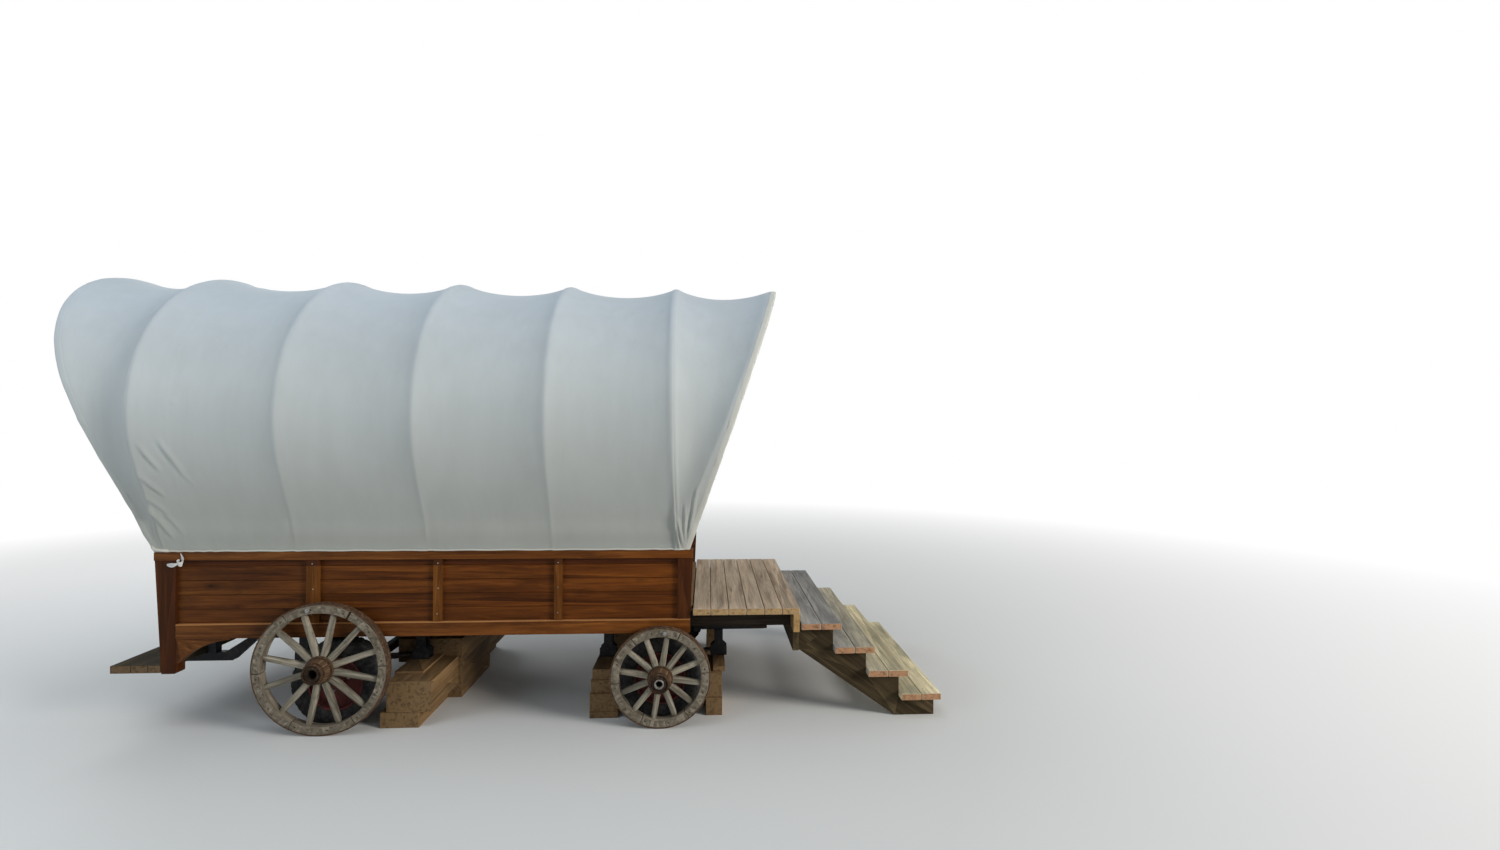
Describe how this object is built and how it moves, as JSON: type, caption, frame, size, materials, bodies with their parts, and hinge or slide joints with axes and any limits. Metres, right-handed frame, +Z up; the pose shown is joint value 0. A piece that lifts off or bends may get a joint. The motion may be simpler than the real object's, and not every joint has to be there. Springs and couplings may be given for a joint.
{
  "type": "covered wagon with deck and stairs",
  "caption": "Boarded timber wagon body under a hooped canvas cover, on a wheeled steel chassis with spoked cart wheels at its sides, a front deck with stairs and a rear platform.",
  "frame": {"origin": "on the ground, in the middle of the overall length and width", "axes": "+X to the front, where the stairs are, +Y to the left side, +Z up"},
  "size_m": [6.295, 2.2, 3.2543],
  "materials": {
    "canvas": "matte woven",
    "hoop_wood": "plain bent ash",
    "stained_boards": "stained, satin",
    "stained_rails": "stained, satin",
    "deck_wood": "weathered",
    "tread_wood": "weathered",
    "stringer_wood": "new pine",
    "floor_wood": "rough sawn",
    "cart_wood": "weathered, bare",
    "cart_iron": "rusted",
    "crib_wood": "rough sawn",
    "black_steel": "satin black",
    "spring_steel": "dusty black",
    "bolt_steel": "zinc plated",
    "red_rim": "dull red",
    "tyre": "dusty rubber"
  },
  "bodies": {
    "wagon": {"chassis_rails": "black_steel", "chassis_cross_members": "black_steel", "tow_plate": "black_steel", "bolsters": "floor_wood", "rear_axle": "spring_steel", "front_axle": "spring_steel", "leaf_springs": "spring_steel", "spring_hangers": "black_steel", "floor_joists": "floor_wood", "floor_boards": "floor_wood", "corner_posts": "stained_boards", "lower_rails": "stained_boards", "right_side_boards": "stained_boards", "left_side_boards": "stained_boards", "frieze_rails": "stained_boards", "cap_rails": "stained_rails", "side_battens": "stained_rails", "knee_brackets": "stained_rails", "rear_end_boards": "stained_boards", "hoops": "hoop_wood", "canvas_cover": "canvas", "canvas_rear_end": "canvas", "deck_planks": "deck_wood", "deck_fascia": "deck_wood", "stair_ledger": "stringer_wood", "stair_stringers": "stringer_wood", "stair_treads": "tread_wood", "rear_platform_planks": "deck_wood", "rear_platform_frame": "black_steel", "rear_cart_naves": "cart_wood", "rear_cart_spokes": "cart_wood", "rear_cart_felloes": "cart_wood", "rear_cart_irons": "cart_iron", "front_cart_naves": "cart_wood", "front_cart_spokes": "cart_wood", "front_cart_felloes": "cart_wood", "front_cart_irons": "cart_iron", "cart_wheel_bolts": "bolt_steel", "rear_cribbing": "crib_wood", "middle_cribbing": "crib_wood", "front_cribbing": "crib_wood"},
    "rear_right_wheel": {"rear_right_tyre": "tyre", "rear_right_rim": "red_rim"},
    "rear_left_wheel": {"rear_left_tyre": "tyre", "rear_left_rim": "red_rim"},
    "front_right_wheel": {"front_right_tyre": "tyre", "front_right_rim": "red_rim"},
    "front_left_wheel": {"front_left_tyre": "tyre", "front_left_rim": "red_rim"}
  },
  "joints": [
    {"name": "rear_right_spin", "type": "hinge", "parent": "wagon", "child": "rear_right_wheel", "pos_m": [-1.1555, -0.7445, 0.305], "axis": [0, 1, 0], "continuous": true},
    {"name": "rear_left_spin", "type": "hinge", "parent": "wagon", "child": "rear_left_wheel", "pos_m": [-1.1555, 0.7445, 0.305], "axis": [0, 1, 0], "continuous": true},
    {"name": "front_right_spin", "type": "hinge", "parent": "wagon", "child": "front_right_wheel", "pos_m": [1.0975, -0.7445, 0.305], "axis": [0, 1, 0], "continuous": true},
    {"name": "front_left_spin", "type": "hinge", "parent": "wagon", "child": "front_left_wheel", "pos_m": [1.0975, 0.7445, 0.305], "axis": [0, 1, 0], "continuous": true}
  ]
}
